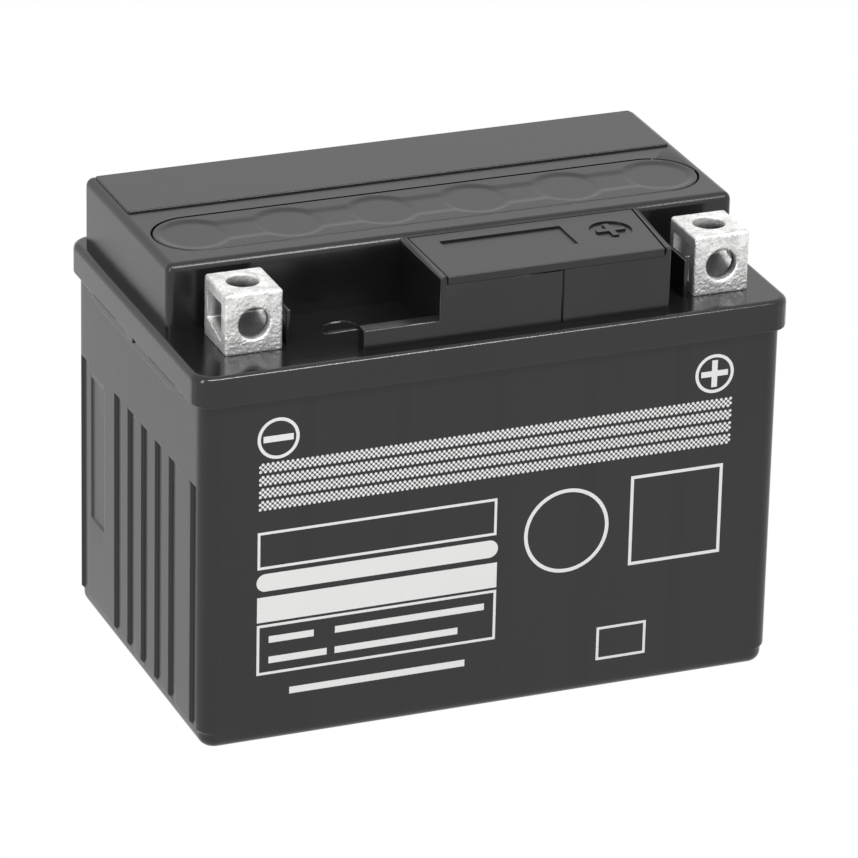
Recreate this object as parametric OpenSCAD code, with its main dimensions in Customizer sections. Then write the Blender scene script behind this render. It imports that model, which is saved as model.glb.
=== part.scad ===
// Small sealed motorcycle battery: six lead-acid cells in a row, a case, a welded-on cover,
// six relief valves under a strip lid, and two bolt-on block terminals in front recesses.
// X runs along the battery, the labelled front faces -Y, and Z = 0 is the face it rests on.

/* [Overall] */
// Length over the cover's skirt
battery_l = 113; // [94:0.5:140]
// Width over the cover's skirt
battery_w = 70; // [58:0.5:90]
// Height to the highest ledge of the cover
battery_h = 85; // [70:0.5:130]

/* [Case] */
// How far the case's front and rear stand back from the skirt
side_inset = 1; // [0.8:0.1:2]
// How far the case's ends stand back from the skirt
end_inset = 1.35; // [1.1:0.05:2]
// Thickness of the case's outer walls, floor included
case_wall = 2.2; // [1.8:0.1:3]
// Thickness of the walls between the cells
partition_t = 1.2; // [0.8:0.1:2]
// Radius of the case's upright corners
case_r = 3; // [1.5:0.5:4]
// Depth of the grooves in the case's ends
groove_d = 0.55; // [0.2:0.05:0.8]
// Width of those grooves
groove_w = 3.2; // [1:0.1:5]
// Distance between neighbouring grooves
groove_pitch = 7.4; // [5.5:0.1:8]
// Height of the plain foot below the grooves
foot_h = 3; // [1:0.5:6]
// Height of the proud rim that runs round the ends just below the skirt
rim_h = 2.4; // [1:0.1:4]

/* [Cover] */
// Height of the skirt that closes over the case
skirt_h = 5.8; // [4:0.1:8]
// Depth of the terminal recesses below the cover's highest ledge
recess_h = 12.8; // [12:0.1:16]
// Thickness of the deck in the recesses
deck_t = 2; // [1.5:0.1:3]
// Depth of the front recesses, from the skirt to the main block
recess_d = 22.3; // [20:0.1:26]
// How far the main block stands in from the skirt
block_inset = 2.4; // [2:0.1:4]
// Thickness of the cover's inner walls
block_wall = 2; // [1.2:0.1:3]
// Height of the rear ledge above the rest of the block
ledge_rise = 0.4; // [0.2:0.1:1]

/* [Middle block] */
// Distance from the battery's middle to the block's left side
mid_left = 10.5; // [8:0.5:14]
// Gap between the block's right side, at the front, and the positive terminal
mid_gap = 6.4; // [5:0.1:12]
// Extra width at the back of the block's slanted right side
mid_skew = 1.9; // [0:0.1:2]
// How far the block's front stands back from the skirt
mid_setback = 3; // [2:0.1:6]
// How far the block's top lies below the main block's top
mid_drop = 0.5; // [0.2:0.1:1.5]
// Thickness of the plate that closes the block
plate_lid_t = 1.5; // [1:0.1:2]
// Diameter of the porous flame arrestor disc
arrestor_d = 6; // [4:0.5:7]

/* [Vents] */
// Gap between the strip lid's ends and the main block's ends
vent_end_gap = 2.1; // [1.5:0.1:5]
// Width of the strip lid
vent_lid_w = 16; // [15:0.5:19.5]
// Thickness of the strip lid
vent_lid_t = 1.8; // [1.2:0.1:2.5]
// Outer diameter of the tubes that the valve caps sit on
tube_d = 6; // [4.5:0.1:6.2]
// Bore of those tubes
tube_bore = 3; // [2:0.5:3.5]
// Height of those tubes
tube_h = 3.6; // [3:0.1:4.5]
// Wall of the rubber valve caps, crown and skirt alike
cap_wall = 1.3; // [0.8:0.05:1.4]
// How far a valve cap lifts when it vents
cap_lift = 0.4; // [0.2:0.05:0.8]

/* [Terminals] */
// Width of a terminal block
terminal_w = 10.7; // [8.9:0.1:12.9]
// Depth of a terminal block, front to back
terminal_d = 11.3; // [9.5:0.1:12.5]
// Height of a terminal block
terminal_h = 11.3; // [10.4:0.1:12]
// Distance from the skirt's end to the negative block
negative_end_gap = 8.2; // [7:0.1:9]
// Distance from the skirt's end to the positive block
positive_end_gap = 5.9; // [5:0.1:9]
// Distance from the skirt's front to the negative block
negative_front_gap = 8.5; // [6.5:0.1:10]
// Distance from the skirt's front to the positive block
positive_front_gap = 7; // [6:0.1:10]
// Diameter of the bolt holes, a clearance hole for an M5 bolt
bolt_hole_d = 5.8; // [5.2:0.1:6.4]
// Thickness of a block's front wall
terminal_front_t = 2.35; // [1.5:0.05:3]
// Thickness of a block's top wall
terminal_top_t = 2.4; // [1.5:0.1:3]
// Depth of the slot that holds the square nut
nut_slot_d = 7.1; // [5.5:0.1:7.2]
// Height of that slot at its back
nut_slot_h = 5.2; // [4.6:0.1:5.5]
// Diameter of the lead posts below the blocks
post_d = 7; // [5:0.5:7.5]

/* [Cells] */
// Thickness of a positive plate
positive_t = 1.9; // [1.2:0.1:1.9]
// Thickness of a negative plate
negative_t = 1.5; // [1:0.1:1.5]
// Height left above the plates for their lugs and straps
strap_room = 12; // [10:0.5:16]
// Width of the lugs on the plates
lug_w = 7; // [5.5:0.1:8.5]
// Thickness of the straps that join the lugs
strap_t = 3; // [2:0.5:3.5]
// Diameter of the welds through the partitions
weld_d = 6; // [4:0.5:6.5]

/* [Hidden] */
$fn = 48;
CELLS = 6;
PLATES = 7;
FRONT = -1;
REAR = 1;

SLIDE_FIT = 0.05;
FIT = 0.1;
CUT = 1;

BLACK = "#232527";
COVER_BLACK = "#2b2d30";
LEAD = "#b9bbbd";
DARK_LEAD = "#6f7377";
RUBBER = "#17181a";
GLASS_MAT = "#e6e4dc";
OXIDE = "#4b2d22";

groove_drop = 20.2;
outer_groove_inset = 4.25;
rim_inset = 0.6;
rim_end_gap = 5;
tab_w = 4.2;
tab_h = 0.9;
tab_y = 1.2;

block_r = 1;
vent_setback = 12.7;
vent_seat_w = 2.8;
ledge_gap = 4.6;
ledge_inset = 0.5;
lid_gap = 0.35;
cap_foot_gap = 0.7;
cap_head_gap = 0.3;

mid_lid_left = 1.3;
mid_lid_right = 1.2;
chamber_wall = 2.5;
rung_t = 1.2;
rung_shares = [0.26, 0.72];
rung_drop = 2;
arrestor_t = 2.5;
arrestor_rise = 0.6;
gas_bore = 2;
outlet_left = 5.1;
outlet_right = 1.55;
outlet_h = 0.25;
drip_w = 0.5;
drip_d = 0.4;

low_wall_l = 14.2;
low_wall_t = 3;
low_wall_h = 3.8;
rib_t = 0.9;
rib_gap = 1.1;
negative_rib_setback = 1.5;
negative_rib_h = 6.6;
positive_rib_h = 7.3;

top_hole_y = 6.2;
slot_slope = 1.8;
boss_wall = 2.5;
boss_h = 4;
seal_wall = 1.5;
seal_floor = 0.5;

plate_side_gap = 1;
mat_side_gap = 0.3;
mat_rise = 1;
lug_h = 2;
strap_edge = 1;
strap_inset = 8;
upright_t = 2.2;
upright_gap = 0.6;

deck_z = battery_h - recess_h;
seal_z = deck_z - deck_t;
skirt_z = deck_z - skirt_h;
block_z = battery_h - ledge_rise;
mid_z = block_z - mid_drop;
mid_lid_z = mid_z - plate_lid_t;
vent_lid_z = block_z - vent_lid_t;
trough_z = vent_lid_z - cap_head_gap - cap_lift - cap_wall - tube_h;
headspace_z = trough_z - block_wall;
bay_z = block_z - block_wall;
tube_z = trough_z + tube_h;
groove_z = seal_z - groove_drop;

case_l = battery_l - 2 * end_inset;
case_w = battery_w - 2 * side_inset;
skirt_r = case_r + side_inset;
cell_l = (case_l - 2 * case_wall - (CELLS - 1) * partition_t) / CELLS;
cell_w = case_w - 2 * case_wall;
cell_pitch = cell_l + partition_t;
outer_groove_y = case_w / 2 - outer_groove_inset;
rim_l = battery_l - 2 * rim_inset;
rim_w = case_w - 2 * rim_end_gap;

negative_x = negative_end_gap + terminal_w / 2 - battery_l / 2;
positive_x = battery_l / 2 - positive_end_gap - terminal_w / 2;
negative_y = negative_front_gap + terminal_d / 2 - battery_w / 2;
positive_y = positive_front_gap + terminal_d / 2 - battery_w / 2;
front_hole_z = terminal_h - terminal_top_t - (nut_slot_h + slot_slope) / 2;
seal_d = post_d + 2 * seal_wall;
seal_h = deck_t - seal_floor;
boss_d = post_d + 2 * boss_wall;

block_y0 = recess_d - battery_w / 2;
block_y1 = battery_w / 2 - block_inset;
block_l = battery_l - 2 * block_inset;
vent_y = block_y0 + vent_setback;
vent_lid_x = block_l / 2 - vent_end_gap - vent_lid_w / 2;
trough_r = vent_lid_w / 2 - vent_seat_w;
bay_y = vent_y + trough_r + block_wall;
ledge_y = vent_y + vent_lid_w / 2 + ledge_gap;

mid_y0 = mid_setback - battery_w / 2;
mid_right = positive_x - terminal_w / 2 - mid_gap;
mid_slope = mid_skew / (block_y0 - mid_y0);
chamber_x0 = chamber_wall - mid_left;
chamber_x1 = mid_right - chamber_wall;
chamber_y0 = mid_y0 + block_wall;
chamber_y1 = block_y0 - block_wall;
chamber_z = deck_z + deck_t;
arrestor_x = (mid_right - mid_left) / 2;
arrestor_z = (chamber_z + mid_lid_z) / 2 + arrestor_rise;
outlet_x0 = arrestor_x - outlet_left;
outlet_x1 = arrestor_x + outlet_right;

plate_h = seal_z - case_wall - strap_room;
plate_w = cell_w - 2 * plate_side_gap;
mat_w = cell_w - 2 * mat_side_gap;
mat_h = plate_h + mat_rise;
mat_t = (cell_l - 2 * FIT - 3 * positive_t - 4 * negative_t) / (PLATES - 1);
strap_z = case_wall + plate_h + lug_h;
strap_w = lug_w + 2 * strap_edge;
strap_y = case_w / 2 - strap_inset - strap_w / 2;
upright_z = seal_z - upright_gap;
weld_z = (strap_z + strap_t + upright_z) / 2;

PARTS = ["case", "cover", "vent_lid", "middle_lid", "flame_arrestor",
    "negative_terminal", "positive_terminal", "negative_post", "positive_post",
    "negative_seal", "positive_seal"];
PER_CELL = ["valve_cap", "positive_plates", "negative_plates", "separator_mats"];

// Where cell i, counted from the negative end, has its middle.
function cell_x(i) = (i - (CELLS + 1) / 2) * cell_pitch;
// Where the wall between cell i and the next one has its middle.
function partition_x(i) = cell_x(i) + cell_pitch / 2;
// The side on which cell i carries its negative strap; its positive strap is opposite.
function negative_side(i) = i % 2 == 1 ? FRONT : REAR;
// Where plate k of a cell's stack has its middle, measured from the cell's middle.
// Even plates are negative, odd ones are positive, and a glass mat lies between neighbours.
function plate_x(k) = FIT - cell_l / 2 + floor(k / 2) * (negative_t + positive_t + 2 * mat_t)
    + (k % 2 == 0 ? negative_t / 2 : negative_t + mat_t + positive_t / 2);
function plate_t(k) = k % 2 == 0 ? negative_t : positive_t;

// A box given by its low corner and its high corner.
module span(low, high) {
    translate(low) cube(high - low);
}

// A rectangle with true round corners, centred on the origin.
module rounded_rectangle(l, w, r) {
    square([l - 2 * r, w], center = true);
    square([l, w - 2 * r], center = true);
    for (x = [-1, 1], y = [-1, 1]) translate([x * (l / 2 - r), y * (w / 2 - r)]) circle(r);
}

// A plate with round upright corners, from z0 up to z1.
module slab(l, w, r, z0, z1) {
    translate([0, 0, z0]) linear_extrude(z1 - z0) rounded_rectangle(l, w, r);
}

// A bar with round ends along the row of valves, from z0 up to z1. The ends are arcs of
// radius r about the points x_end to the left and right of the battery's middle.
module strip(x_end, r, z0, z1) {
    translate([0, vent_y, z0]) linear_extrude(z1 - z0) {
        square([2 * x_end, 2 * r], center = true);
        for (side = [-1, 1]) translate([side * x_end, 0]) circle(r);
    }
}

// The moulded case: one box with five inner walls, which the welds pass through.
module case() {
    color(BLACK) difference() {
        union() {
            slab(case_l - 2 * groove_d, case_w, case_r, 0, foot_h);
            slab(case_l, case_w, case_r, foot_h, seal_z);
            span([-rim_l / 2, -rim_w / 2, skirt_z - rim_h], [rim_l / 2, rim_w / 2, skirt_z]);
        }
        for (i = [1:CELLS]) cell_space(i, case_wall, seal_z + CUT);
        for (i = [1:CELLS - 1]) weld_through(i, weld_d + 2 * SLIDE_FIT);
        for (side = [-1, 1]) {
            for (k = [-2.5:2.5]) if (side == 1 || k != 2.5) end_groove(side, k * groove_pitch);
            for (k = [-1, 1]) end_groove(side, k * outer_groove_y);
        }
    }
}

module cell_space(i, z0, z1, gap = 0) {
    half = [cell_l / 2 - gap, cell_w / 2 - gap];
    span([cell_x(i) - half[0], -half[1], z0], [cell_x(i) + half[0], half[1], z1]);
}

module end_groove(side, y) {
    translate([side * case_l / 2, y, (foot_h - CUT + groove_z) / 2])
        cube([2 * groove_d, groove_w, groove_z - foot_h + CUT], center = true);
}

module weld_through(i, d) {
    translate([partition_x(i), -negative_side(i) * strap_y, weld_z]) rotate([0, 90, 0])
        cylinder(d = d, h = partition_t + 2 * CUT, center = true);
}

// The cover: skirt and deck, the main block over the cells, and the middle block in front.
module cover() {
    color(COVER_BLACK) difference() {
        union() {
            difference() {
                cover_outside();
                slab(case_l + 2 * FIT, case_w + 2 * FIT, case_r + FIT, skirt_z - tab_h - CUT, seal_z);
                headspaces();
                strip(vent_lid_x, vent_lid_w / 2 + lid_gap, vent_lid_z, battery_h + CUT);
                strip(cell_x(CELLS), trough_r, trough_z, battery_h);
                middle_inside();
            }
            for (i = [1:CELLS]) translate([cell_x(i), vent_y, trough_z - FIT])
                cylinder(d = tube_d, h = tube_h + FIT);
            post_boss(1, negative_x, negative_y);
            post_boss(CELLS, positive_x, positive_y);
        }
        for (i = [1:CELLS]) translate([cell_x(i), vent_y, headspace_z - CUT])
            cylinder(d = tube_bore, h = tube_z - headspace_z + 2 * CUT);
        post_hole(negative_x, negative_y);
        post_hole(positive_x, positive_y);
    }
}

module cover_outside() {
    tab_t = rim_inset - SLIDE_FIT;
    slab(battery_l, battery_w, skirt_r, skirt_z, deck_z);
    for (side = [-1, 1]) translate([side * (battery_l / 2 - tab_t / 2), tab_y, skirt_z - tab_h / 2])
        cube([tab_t, tab_w, tab_h + FIT], center = true);
    translate([0, (block_y0 + block_y1) / 2, 0])
        slab(block_l, block_y1 - block_y0, block_r, deck_z - FIT, block_z);
    span([-block_l / 2 + block_r, ledge_y, block_z - FIT],
        [block_l / 2 - block_r, block_y1 - ledge_inset, battery_h]);
    translate([0, 0, deck_z - FIT]) linear_extrude(mid_z - deck_z + FIT)
        middle_outline(-mid_left, mid_right, mid_y0, block_y0 + FIT);
    span([-mid_left - low_wall_l, mid_y0, deck_z - FIT],
        [-mid_left + FIT, mid_y0 + low_wall_t, deck_z + low_wall_h]);
    retaining_rib(negative_x + terminal_w / 2 + rib_gap,
        negative_y - terminal_d / 2 + negative_rib_setback, negative_rib_h);
    retaining_rib(positive_x - terminal_w / 2 - rib_gap - rib_t, positive_y - terminal_d / 2, positive_rib_h);
}

// A footprint from y0 back to y1, whose straight left side is at x0 and whose slanted right side
// would be at x1 where it meets the middle block's front.
module middle_outline(x0, x1, y0, y1) {
    function right(y) = x1 + mid_slope * (y - mid_y0);
    polygon([[x0, y0], [right(y0), y0], [right(y1), y1], [x0, y1]]);
}

// A thin rib beside a terminal that keeps the nut from sliding out inwards.
module retaining_rib(x, y0, h) {
    span([x, y0, deck_z - FIT], [x + rib_t, block_y0 + FIT, deck_z + h]);
}

// The boss around a post, kept clear of the walls of its cell.
module post_boss(i, x, y) {
    intersection() {
        translate([x, y, seal_z - boss_h]) cylinder(d = boss_d, h = boss_h + FIT);
        cell_space(i, 0, deck_z, FIT);
    }
}

// The stepped hole for a post: a clearance bore below and a seat for the seal above.
module post_hole(x, y) {
    translate([x, y, seal_z - boss_h - CUT]) cylinder(d = post_d + 2 * FIT, h = boss_h + deck_t + 2 * CUT);
    translate([x, y, deck_z - seal_h]) cylinder(d = seal_d + 2 * SLIDE_FIT, h = seal_h + CUT);
}

// Each cell's room inside the main block, lower under the gas trough than behind it.
module headspaces() {
    end_x = block_l / 2 - block_wall;
    for (i = [1:CELLS]) {
        x0 = max(cell_x(i) - cell_l / 2, -end_x);
        x1 = min(cell_x(i) + cell_l / 2, end_x);
        span([x0, block_y0 + block_wall, seal_z - CUT], [x1, block_y1 - block_wall, headspace_z]);
        span([x0, bay_y, seal_z - CUT], [x1, block_y1 - block_wall, bay_z]);
    }
}

// The gas chamber of the middle block, with the way in through the arrestor and the way out
// through a slit below the lid's front edge.
module middle_inside() {
    lid_seat_x = [-mid_left + mid_lid_left - FIT, mid_right - mid_lid_right + FIT];
    translate([0, 0, mid_lid_z]) linear_extrude(plate_lid_t + CUT)
        middle_outline(lid_seat_x[0], lid_seat_x[1], mid_y0 - CUT, block_y0);
    difference() {
        span([chamber_x0, chamber_y0, chamber_z], [chamber_x1, chamber_y1, mid_lid_z + FIT]);
        for (share = rung_shares) rung(chamber_x0 + share * (chamber_x1 - chamber_x0));
    }
    translate([arrestor_x, chamber_y1, arrestor_z]) rotate([-90, 0, 0]) {
        translate([0, 0, -CUT]) cylinder(d = arrestor_d + 2 * SLIDE_FIT, h = arrestor_t + CUT);
        cylinder(d = gas_bore, h = vent_y - chamber_y1);
    }
    span([outlet_x0, mid_y0 - CUT, mid_lid_z - outlet_h], [outlet_x1, chamber_y0 + CUT, mid_lid_z + FIT]);
    span([outlet_x1 - drip_w, mid_y0 - CUT, deck_z], [outlet_x1, mid_y0 + drip_d, mid_lid_z]);
}

// One of the low walls that stiffen the chamber's floor and front.
module rung(x) {
    span([x - rung_t / 2, chamber_y0 - CUT, chamber_z - CUT],
        [x + rung_t / 2, chamber_y1 + CUT, mid_lid_z - rung_drop]);
}

module middle_lid() {
    color(COVER_BLACK) translate([0, 0, mid_lid_z]) linear_extrude(plate_lid_t)
        middle_outline(-mid_left + mid_lid_left, mid_right - mid_lid_right, mid_y0, block_y0 - FIT);
}

module vent_lid() {
    color(COVER_BLACK) strip(vent_lid_x, vent_lid_w / 2, vent_lid_z, block_z);
}

module flame_arrestor() {
    color(GLASS_MAT) translate([arrestor_x, chamber_y1, arrestor_z]) rotate([-90, 0, 0])
        cylinder(d = arrestor_d, h = arrestor_t);
}

// A soft cap that sits on its vent tube and lifts to let gas out.
module valve_cap(i) {
    cap_d = tube_d + 2 * SLIDE_FIT + 2 * cap_wall;
    skirt = tube_h - cap_foot_gap;
    color(RUBBER) translate([cell_x(i), vent_y, tube_z - skirt]) difference() {
        cylinder(d = cap_d, h = skirt + cap_wall);
        translate([0, 0, -CUT]) cylinder(d = tube_d + 2 * SLIDE_FIT, h = skirt + CUT);
    }
}

// A cast block with a slot for a square nut and a bolt hole in its front and in its top.
module terminal(x, y) {
    front = y - terminal_d / 2;
    color(LEAD) difference() {
        span([x - terminal_w / 2, front, deck_z],
            [x + terminal_w / 2, front + terminal_d, deck_z + terminal_h]);
        nut_slot(x, front + terminal_front_t, deck_z + terminal_h - terminal_top_t);
        translate([x, front - CUT, deck_z + front_hole_z]) rotate([-90, 0, 0])
            cylinder(d = bolt_hole_d, h = terminal_front_t + 2 * CUT);
        translate([x, front + top_hole_y, deck_z + terminal_h - terminal_top_t - CUT])
            cylinder(d = bolt_hole_d, h = terminal_top_t + 2 * CUT);
    }
}

// The nut's slot, open at both sides, with a floor that falls towards the front.
module nut_slot(x, y, z) {
    translate([x - terminal_w / 2 - CUT, y, z]) rotate([90, 0, 90]) linear_extrude(terminal_w + 2 * CUT)
        polygon([[0, 0], [nut_slot_d, 0], [nut_slot_d, -nut_slot_h], [0, -nut_slot_h - slot_slope]]);
}

// A terminal's post, cast in one with the strap of the end cell.
module post(i, x, y) {
    color(LEAD) {
        strap(i, FRONT);
        translate([x, y, strap_z + strap_t - FIT]) cylinder(d = post_d, h = deck_z - strap_z - strap_t + FIT);
    }
}

module post_seal(x, y) {
    color(RUBBER) translate([x, y, deck_z - seal_h]) difference() {
        cylinder(d = seal_d, h = seal_h);
        translate([0, 0, -CUT]) cylinder(d = post_d + 2 * SLIDE_FIT, h = seal_h + 2 * CUT);
    }
}

// The strap over one side of cell i.
module strap(i, side) {
    translate([cell_x(i), side * strap_y, strap_z + strap_t / 2])
        cube([cell_l - 2 * FIT, strap_w, strap_t], center = true);
}

// The link from cell i's positive strap to the next cell's negative strap.
module cell_link(i) {
    side = -negative_side(i);
    y = side * strap_y;
    color(LEAD) {
        strap(i, side);
        strap(i + 1, side);
        for (hand = [-1, 1]) translate([partition_x(i) + hand * (partition_t + upright_t) / 2, y, 0])
            span([-upright_t / 2, -strap_w / 2, strap_z], [upright_t / 2, strap_w / 2, upright_z]);
        weld_through(i, weld_d);
    }
}

// The plates of one kind in cell i, each with a lug that reaches up to its strap.
module plates(i, first, side, tint) {
    color(tint) for (k = [first:2:PLATES - 1]) translate([cell_x(i) + plate_x(k), 0, case_wall]) {
        half_t = plate_t(k) / 2;
        span([-half_t, -plate_w / 2, 0], [half_t, plate_w / 2, plate_h]);
        translate([0, side * strap_y, plate_h - FIT])
            span([-half_t, -lug_w / 2, 0], [half_t, lug_w / 2, lug_h + FIT]);
    }
}

// The absorbent glass mats between the plates of cell i, soaked with the acid.
module separator_mats(i) {
    color(GLASS_MAT) for (k = [0:PLATES - 2]) {
        x = cell_x(i) + plate_x(k) + plate_t(k) / 2;
        translate([x, 0, case_wall]) span([0, -mat_w / 2, 0], [mat_t, mat_w / 2, mat_h]);
    }
}

case();
cover();
vent_lid();
middle_lid();
flame_arrestor();
terminal(negative_x, negative_y);  // negative_terminal
terminal(positive_x, positive_y);  // positive_terminal
post(1, negative_x, negative_y);  // negative_post
post(CELLS, positive_x, positive_y);  // positive_post
post_seal(negative_x, negative_y);  // negative_seal
post_seal(positive_x, positive_y);  // positive_seal
for (i = [1:CELLS]) {
    valve_cap(i);
    plates(i, 1, -negative_side(i), OXIDE);
    plates(i, 0, negative_side(i), DARK_LEAD);
    separator_mats(i);
}
for (i = [1:CELLS - 1]) cell_link(i);
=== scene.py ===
"""The looks of a small sealed motorcycle battery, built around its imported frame."""

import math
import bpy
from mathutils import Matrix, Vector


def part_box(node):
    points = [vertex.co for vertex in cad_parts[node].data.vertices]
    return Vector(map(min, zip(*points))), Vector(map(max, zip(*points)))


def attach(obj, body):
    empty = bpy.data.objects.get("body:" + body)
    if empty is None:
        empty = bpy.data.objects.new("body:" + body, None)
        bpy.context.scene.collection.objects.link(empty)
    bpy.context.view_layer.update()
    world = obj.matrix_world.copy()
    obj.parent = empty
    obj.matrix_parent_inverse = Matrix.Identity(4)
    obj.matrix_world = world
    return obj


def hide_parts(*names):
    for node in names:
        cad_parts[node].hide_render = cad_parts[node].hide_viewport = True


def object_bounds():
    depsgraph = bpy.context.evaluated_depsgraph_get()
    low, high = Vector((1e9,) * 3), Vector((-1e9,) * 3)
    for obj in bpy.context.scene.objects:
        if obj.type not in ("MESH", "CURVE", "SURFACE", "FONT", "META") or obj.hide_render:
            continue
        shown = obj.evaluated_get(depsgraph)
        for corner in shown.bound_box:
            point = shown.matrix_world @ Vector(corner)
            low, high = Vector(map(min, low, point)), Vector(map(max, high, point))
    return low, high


bl_info = {
    "name": "Motorcycle battery",
    "version": (1, 0, 0),
    "blender": (4, 5, 0),
    "location": "3D View > Sidebar > Battery",
    "description": "Builds the visible pieces, finishes and studio of a sealed motorcycle battery",
    "category": "Object",
}

import bmesh
import bpy
from mathutils import Matrix, Vector, noise

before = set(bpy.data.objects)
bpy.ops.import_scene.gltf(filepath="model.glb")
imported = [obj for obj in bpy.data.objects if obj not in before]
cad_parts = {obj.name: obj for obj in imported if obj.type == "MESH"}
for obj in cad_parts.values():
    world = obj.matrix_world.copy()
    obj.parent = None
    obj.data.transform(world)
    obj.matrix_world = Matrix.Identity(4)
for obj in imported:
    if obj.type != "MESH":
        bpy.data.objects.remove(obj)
CAD_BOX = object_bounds()

MM = 1000.0
BODY = "battery"
CELLS = 6


def box_mm(node):
    """A CAD node's lowest and highest corners, in millimetres."""
    low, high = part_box(node)
    return low * MM, high * MM


CASE_LOW, CASE_HIGH = box_mm("case")
COVER_LOW, COVER_HIGH = box_mm("cover")
STRIP_LOW, STRIP_HIGH = box_mm("vent_lid")
PLATE_LOW, PLATE_HIGH = box_mm("middle_lid")
CELL_PITCH = (box_mm("valve_cap_6")[0].x - box_mm("valve_cap_1")[0].x) / (CELLS - 1)
DECK_Z = box_mm("negative_terminal")[0].z
RIM_PROUD = 0.75
CASE_END = CASE_HIGH.x - RIM_PROUD
BLOCK_TOP = STRIP_HIGH.z

# Fixed places on the cover, the case and the terminals, in mm.
SKIRT_H = 5.8
BLOCK_FRONT = -12.7
BLOCK_STEP = 2.4
LEDGE_FRONT = 12.6
SMALL_FRONT = -32
MIDDLE_LEFT, MIDDLE_RIGHT, MIDDLE_REAR_RIGHT = -10.5, 33.5, 35.5
MIDDLE_SLANT = 1.9 / 19.3
WALL_LEFT, WALL_REAR, WALL_H = -24.7, -29, 3.8
RIBS = ((-36.5, -25.0, 6.6), (37.9, -28.0, 7.3))
RIB_T = 0.9
TAB = (-0.9, 3.3)
RECESS_MARK = (-24.8, -21.3)
PLATE_MARK = (26.6, -20.6)
NAME_FIELD = (-4.5, -24.9, 18.6, -16.1)
MARK_R, MARK_REACH = 3.9, 2.7
BOLT_R = 2.9
FRONT_HOLE_Z, TOP_HOLE_Y, TOP_WALL = 5.4, 6.2, 2.4
NUT_SLOT = ((2.35, 0), (9.45, 0), (9.45, -5.2), (2.35, -7.0))


# --- sizes and colours that a user would change ---------------------------------------------


def length(name, description, default, **limits):
    return bpy.props.FloatProperty(name=name, description=description, default=default, **limits)


def colour(name, description, default):
    return bpy.props.FloatVectorProperty(
        name=name, description=description, default=default, size=3, subtype="COLOR", min=0, max=1
    )


def angle(name, description, degrees):
    return bpy.props.FloatProperty(
        name=name, description=description, default=math.radians(degrees), subtype="ANGLE"
    )


class CaseSettings(bpy.types.PropertyGroup):
    corner_r: length("Corner radius", "Radius of the upright corners, in mm", 3.0, min=1)
    foot_r: length("Foot radius", "Radius round the foot of the case, in mm", 2.0, min=0.5, max=2.5)
    groove_d: length("Groove depth", "Depth of the grooves in the ends, in mm", 0.55, min=0.1)
    groove_w: length("Groove width", "Width of those grooves, in mm", 3.2, min=1)
    groove_pitch: length("Groove pitch", "Distance between neighbouring grooves, in mm", 7.4, min=4)
    groove_top: length("Groove top", "Height at which the grooves end, in mm", 50.0, min=20)
    panel_d: length("Date panel depth", "Depth of the bare date panel in the left end, in mm", 0.3, min=0)


class CoverSettings(bpy.types.PropertyGroup):
    skirt_r: length("Skirt edge", "Radius of the skirt's upper edge, in mm", 1.2, min=0.2)
    block_r: length("Block edge", "Radius of the main block's upper edges, in mm", 1.5, min=0.2)
    small_r: length("Small edges", "Radius of the small blocks' edges, in mm", 0.4, min=0.1)
    mark_d: length("Mark depth", "Depth of the sunk polarity marks, in mm", 0.35, min=0.1, max=0.6)
    dish_d: length("Dish depth", "Depth of the dishes in the strip lid, in mm", 0.3, min=0, max=0.6)


class TerminalSettings(bpy.types.PropertyGroup):
    edge_r: length("Edge radius", "Radius of a block's cast edges, in mm", 0.6, min=0.1, max=1.5)
    grain_d: length("Grain depth", "Depth of the pitted skin on a block's front, in mm", 0.09, min=0)
    grain_size: length("Grain size", "Distance between the pits, in mm", 0.5, min=0.2)
    voxel: length("Mesh size", "Size of the mesh that carries the pits, in mm", 0.17, min=0.1)


class PrintSettings(bpy.types.PropertyGroup):
    ink_t: length("Ink thickness", "Thickness of the printed ink, in mm", 0.03, min=0.01)
    dot_pitch: length("Dot pitch", "Distance between the dots of the stripes, in mm", 0.92, min=0.4)
    dot_r: length("Dot radius", "Radius of those dots, in mm", 0.29, min=0.1)
    stripes: bpy.props.IntProperty(name="Stripes", description="Number of dotted stripes", default=4, min=1)


class ColourSettings(bpy.types.PropertyGroup):
    case: colour("Case", "Colour of the case's plastic", (0.009, 0.0092, 0.0095))
    cover: colour("Cover", "Colour of the cover's plastic", (0.009, 0.0092, 0.0095))
    ink: colour("Ink", "Colour of the printed marks", (0.8, 0.8, 0.79))
    terminal: colour("Terminals", "Colour of the bright cast blocks", (0.93, 0.93, 0.92))


class StudioSettings(bpy.types.PropertyGroup):
    azimuth: angle("Azimuth", "How far round the front the camera stands", -22.27)
    elevation: angle("Elevation", "How far above the horizon the camera stands", 23.88)
    roll: angle("Roll", "How far the camera leans", 1.327)
    distance: length("Distance", "From the camera to the battery, in m", 1.0854, min=0.3)
    lens: length("Lens", "Focal length of the camera, in mm", 249.78, min=20)
    world: length("World", "Strength of the world's light", 0.32, min=0)
    key: length("Key lamp", "Power of the strip lamp overhead, in W", 3.6, min=0)


SETTINGS = {
    "battery_case": CaseSettings,
    "battery_cover": CoverSettings,
    "battery_terminals": TerminalSettings,
    "battery_print": PrintSettings,
    "battery_colours": ColourSettings,
    "battery_studio": StudioSettings,
}


# --- finishes -------------------------------------------------------------------------------


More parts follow.
